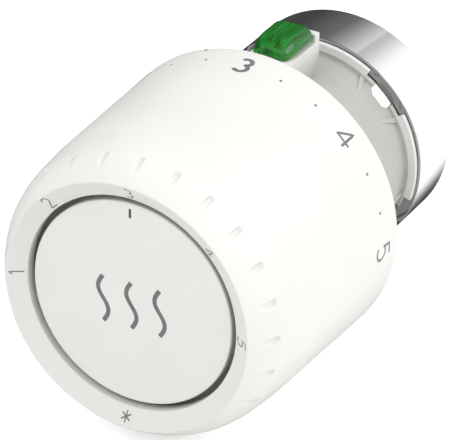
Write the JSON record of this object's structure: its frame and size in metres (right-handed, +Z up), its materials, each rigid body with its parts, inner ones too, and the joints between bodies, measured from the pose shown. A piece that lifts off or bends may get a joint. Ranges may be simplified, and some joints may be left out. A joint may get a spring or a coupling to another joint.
{
  "type": "thermostatic radiator valve head",
  "caption": "Round thermostatic radiator valve head: a turning numbered knob over a sensor and thrust pin, with a green index lens and a polished screw-on collar.",
  "frame": {"origin": "on the axis, in the plane of the collar's rear face, where the radiator valve's neck enters", "axes": "+Y along the axis from the dial towards the radiator valve, +Z up through the index lens, +X to the right as the dial is read"},
  "size_m": [0.052, 0.0725, 0.052],
  "materials": {
    "knob_white": "satin moulded",
    "disc_grey": "satin",
    "base_grey": "satin moulded",
    "inner_white": "moulded",
    "acetal": "moulded",
    "pin_grey": "moulded",
    "green_lens": "clear tinted",
    "chrome": "polished",
    "brass": "machined",
    "aluminium_can": "deep drawn",
    "bronze_foil": "formed foil",
    "spring_steel": "bright"
  },
  "bodies": {
    "base": {"mounting_base": "base_grey", "guide_cage": "inner_white", "dial_disc": "disc_grey", "index_lens": "green_lens", "limiter_ring": "base_grey", "knob_snap_ring": "spring_steel", "knob_bearing_ring": "acetal", "spring_seat": "spring_steel", "pin_guide": "acetal", "return_spring": "spring_steel", "collar_retaining_ring": "spring_steel"},
    "knob": {"control_knob": "knob_white", "knob_drive_sleeve": "inner_white"},
    "sensor": {"sensor_carrier": "acetal", "sensor_capsule": "aluminium_can", "sensor_bellows": "bronze_foil"},
    "rod": {"push_rod": "brass", "spring_cup_retainer": "spring_steel"},
    "tappet": {"spring_cup": "acetal", "overtravel_spring": "spring_steel", "thrust_pin": "spring_steel"},
    "collar": {"chrome_collar": "chrome", "union_nut": "brass"},
    "min_pin": {"limiter_pin_min": "pin_grey"},
    "max_pin": {"limiter_pin_max": "pin_grey"}
  },
  "joints": [
    {"name": "knob_turn", "type": "hinge", "parent": "base", "child": "knob", "pos_m": [0, -0.05, 0], "axis": [0, 1, 0], "range_deg": [-90, 180]},
    {"name": "sensor_travel", "type": "slide", "parent": "base", "child": "sensor", "axis": [0, 1, 0], "range_m": [-0.0015, 0.003]},
    {"name": "sensor_expansion", "type": "slide", "parent": "sensor", "child": "rod", "axis": [0, 1, 0], "range_m": [-0.0022, 0.0022], "stiffness_N_per_m": 400, "deforming": ["sensor_bellows", "return_spring"]},
    {"name": "tappet_overtravel", "type": "slide", "parent": "rod", "child": "tappet", "axis": [0, 1, 0], "range_m": [-0.0018, 0], "stiffness_N_per_m": 400, "deforming": ["overtravel_spring"]},
    {"name": "collar_spin", "type": "hinge", "parent": "base", "child": "collar", "pos_m": [0, -0.005, 0], "axis": [0, 1, 0], "continuous": true},
    {"name": "min_pin_pull", "type": "slide", "parent": "base", "child": "min_pin", "axis": [0, 1, 0], "range_m": [0, 0.006]},
    {"name": "max_pin_pull", "type": "slide", "parent": "base", "child": "max_pin", "axis": [0, 1, 0], "range_m": [0, 0.006]}
  ],
  "couplings": [
    {"joint": "sensor_travel", "follows": "knob_turn", "m_per_rad": 0.00095493}
  ]
}
